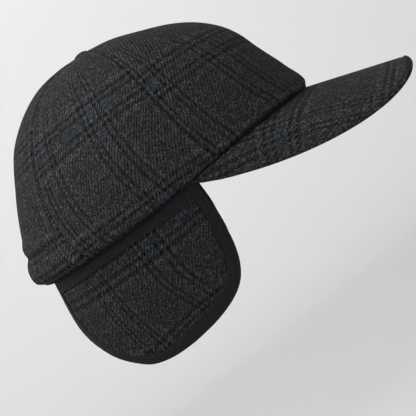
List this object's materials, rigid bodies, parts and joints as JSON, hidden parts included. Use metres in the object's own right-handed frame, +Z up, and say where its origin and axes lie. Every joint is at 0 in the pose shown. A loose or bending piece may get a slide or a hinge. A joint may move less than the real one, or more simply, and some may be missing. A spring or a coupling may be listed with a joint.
{
  "type": "earflap cap",
  "caption": "Plaid wool cap with a rounded hollow crown, a curved stiff peak and black-edged ear flaps that hang from the rim.",
  "frame": {"origin": "middle of the rim plane, where the head goes in, on the upright line through the top button", "axes": "+Z up through the crown, -Y forward along the peak, +X to the wearer's left"},
  "size_m": [0.1694, 0.276, 0.1862],
  "materials": {
    "plaid_wool": "soft matt twill with a glen plaid",
    "black_edging": "matt ribbed tape"
  },
  "bodies": {
    "root": {"crown": "plaid_wool", "top_button": "plaid_wool", "peak": "plaid_wool", "flap_panel_right": "plaid_wool", "flap_panel_left": "plaid_wool", "flap_binding_right": "black_edging", "flap_binding_left": "black_edging", "flap_band_right": "black_edging", "flap_band_left": "black_edging"}
  },
  "joints": []
}
